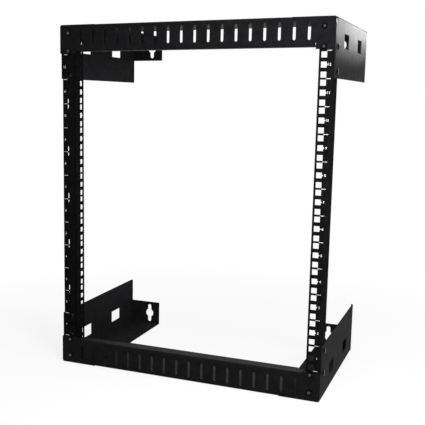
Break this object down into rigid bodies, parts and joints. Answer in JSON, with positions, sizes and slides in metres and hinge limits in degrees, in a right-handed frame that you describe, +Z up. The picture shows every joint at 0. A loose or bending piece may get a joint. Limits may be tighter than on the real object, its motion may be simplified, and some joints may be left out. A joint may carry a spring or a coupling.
{
  "type": "wall mount network rack",
  "caption": "Open wall mount rack frame with square-hole rails, slotted top and bottom beams and keyhole corner brackets.",
  "frame": {"origin": "centre of the rack's box in plan, at the level that the rack stands on", "axes": "+Z up; front of the rack faces -Y and the wall is at +Y; +X is to the right seen from the front"},
  "size_m": [0.507, 0.3188, 0.64],
  "materials": {
    "frame_paint": "fine-textured satin black powder coat",
    "screw_finish": "black zinc, semi-gloss"
  },
  "bodies": {
    "root": {"top_beam": "frame_paint", "bottom_beam": "frame_paint", "left_rail": "frame_paint", "right_rail": "frame_paint", "top_left_bracket": "frame_paint", "top_right_bracket": "frame_paint", "bottom_left_bracket": "frame_paint", "bottom_right_bracket": "frame_paint", "top_left_front_screw_1": "screw_finish", "top_left_front_screw_2": "screw_finish", "top_right_front_screw_1": "screw_finish", "top_right_front_screw_2": "screw_finish", "bottom_left_front_screw_1": "screw_finish", "bottom_left_front_screw_2": "screw_finish", "bottom_right_front_screw_1": "screw_finish", "bottom_right_front_screw_2": "screw_finish", "top_left_front_nut_1": "screw_finish", "top_left_front_nut_2": "screw_finish", "top_right_front_nut_1": "screw_finish", "top_right_front_nut_2": "screw_finish", "bottom_left_front_nut_1": "screw_finish", "bottom_left_front_nut_2": "screw_finish", "bottom_right_front_nut_1": "screw_finish", "bottom_right_front_nut_2": "screw_finish", "top_left_side_screw_1": "screw_finish", "top_left_side_screw_2": "screw_finish", "top_right_side_screw_1": "screw_finish", "top_right_side_screw_2": "screw_finish", "bottom_left_side_screw_1": "screw_finish", "bottom_left_side_screw_2": "screw_finish", "bottom_right_side_screw_1": "screw_finish", "bottom_right_side_screw_2": "screw_finish", "top_left_side_nut_1": "screw_finish", "top_left_side_nut_2": "screw_finish", "top_right_side_nut_1": "screw_finish", "top_right_side_nut_2": "screw_finish", "bottom_left_side_nut_1": "screw_finish", "bottom_left_side_nut_2": "screw_finish", "bottom_right_side_nut_1": "screw_finish", "bottom_right_side_nut_2": "screw_finish"}
  },
  "joints": []
}
